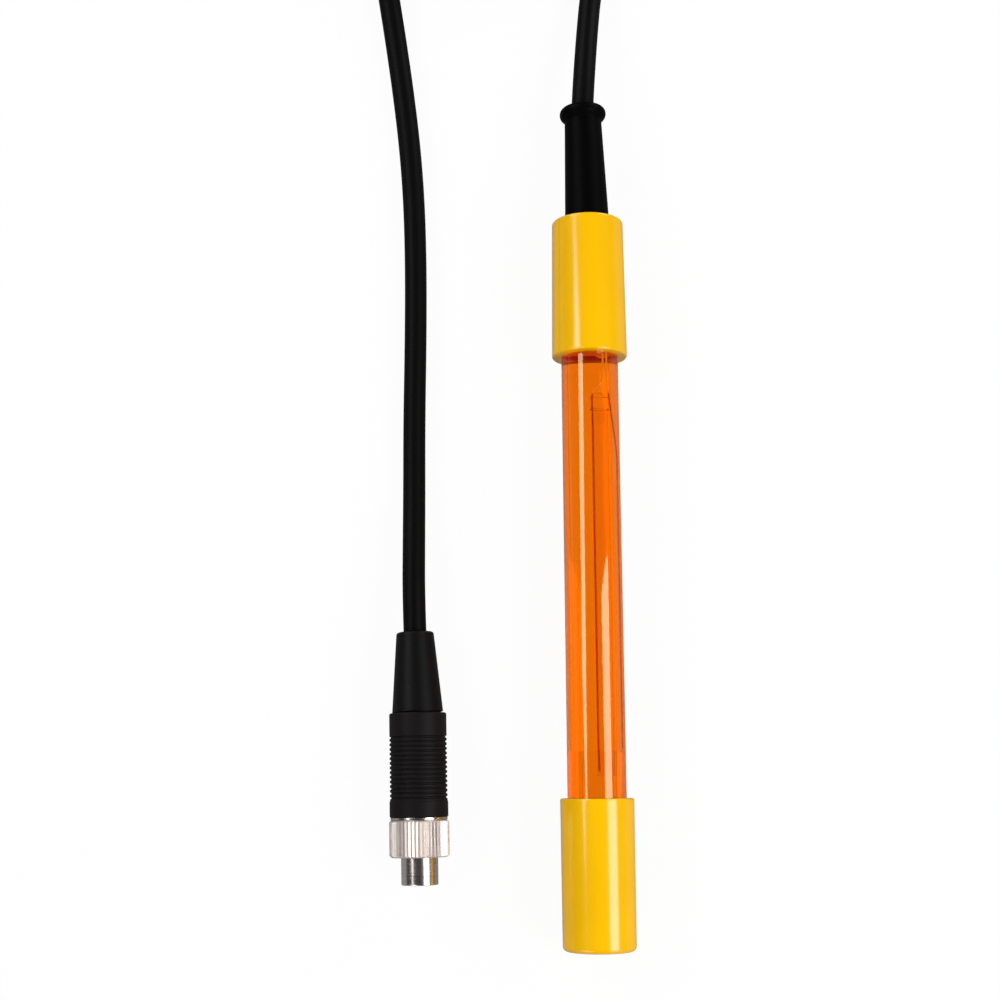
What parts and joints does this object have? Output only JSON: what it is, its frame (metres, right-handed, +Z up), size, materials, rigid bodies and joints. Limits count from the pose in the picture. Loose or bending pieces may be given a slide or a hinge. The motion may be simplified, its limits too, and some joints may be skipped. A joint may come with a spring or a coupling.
{
  "type": "fluoride ion selective electrode",
  "caption": "Combination electrode with a clear amber tube between yellow caps, a removable cap over its tip, and a black lead with a screw-lock round plug.",
  "frame": {"origin": "on the surface that the electrode lies on, under the middle of the electrode with its cable boot", "axes": "Y along the electrode, with the cable boot at +Y and the sensing tip at -Y; Z up; the plug lies at -X"},
  "size_m": [0.0674, 0.2783, 0.0159],
  "materials": {
    "yellow_abs": "moulded glossy yellow plastic",
    "amber_tube": "clear amber plastic with a polished skin",
    "amber_epoxy": "cast amber epoxy",
    "amber_inner": "clear amber plastic",
    "clear_sleeve": "clear thin sleeving",
    "silver_wire": "drawn silver wire",
    "chlorided_silver": "silver wire with a dark silver chloride coat",
    "black_plastic": "moulded satin black plastic",
    "crystal": "polished single crystal",
    "black_rubber": "moulded soft black rubber",
    "porous_ceramic": "unglazed porous ceramic",
    "black_jacket": "extruded soft black jacket",
    "tinned_braid": "tinned copper braid",
    "white_insulation": "extruded white insulation",
    "crimp_metal": "crimped soft metal",
    "nickel": "bright nickel plate on turned brass",
    "insert_plastic": "moulded insulating plastic",
    "gilt_brass": "gilt turned brass",
    "spring_steel": "spring steel"
  },
  "bodies": {
    "electrode": {"top_cap": "yellow_abs", "body_tube": "amber_tube", "epoxy_seal": "amber_epoxy", "inner_tube": "amber_inner", "inner_tube_stopper": "amber_inner", "wire_sleeve": "clear_sleeve", "signal_wire": "silver_wire", "reference_wire": "chlorided_silver", "tip_holder": "amber_inner", "fluoride_crystal": "crystal", "crystal_seal": "black_rubber", "reference_junction": "porous_ceramic", "cable_boot": "black_rubber", "cable_jacket_end": "black_jacket", "cable_shield": "tinned_braid", "cable_core": "white_insulation", "cable_clamp": "crimp_metal", "plug_boot": "black_rubber", "plug_grip": "black_plastic", "plug_shell": "nickel", "plug_insert": "insert_plastic", "contact_pins": "gilt_brass", "plug_conductors": "white_insulation", "plug_cable_end": "black_jacket", "crimp_ferrule": "crimp_metal", "ring_clip": "spring_steel", "cord_from_boot": "black_jacket", "cord_coil": "black_jacket", "cord_to_plug": "black_jacket"},
    "cap": {"protective_cap": "yellow_abs"},
    "ring": {"coupling_ring": "nickel"}
  },
  "joints": [
    {"name": "cap_slide", "type": "slide", "parent": "electrode", "child": "cap", "axis": [0, -1, 0], "range_m": [0, 0.035]},
    {"name": "ring_spin", "type": "hinge", "parent": "electrode", "child": "ring", "pos_m": [-0.03618, -0.06323, 0.00612], "axis": [0.015, -0.9999, 0], "continuous": true}
  ]
}
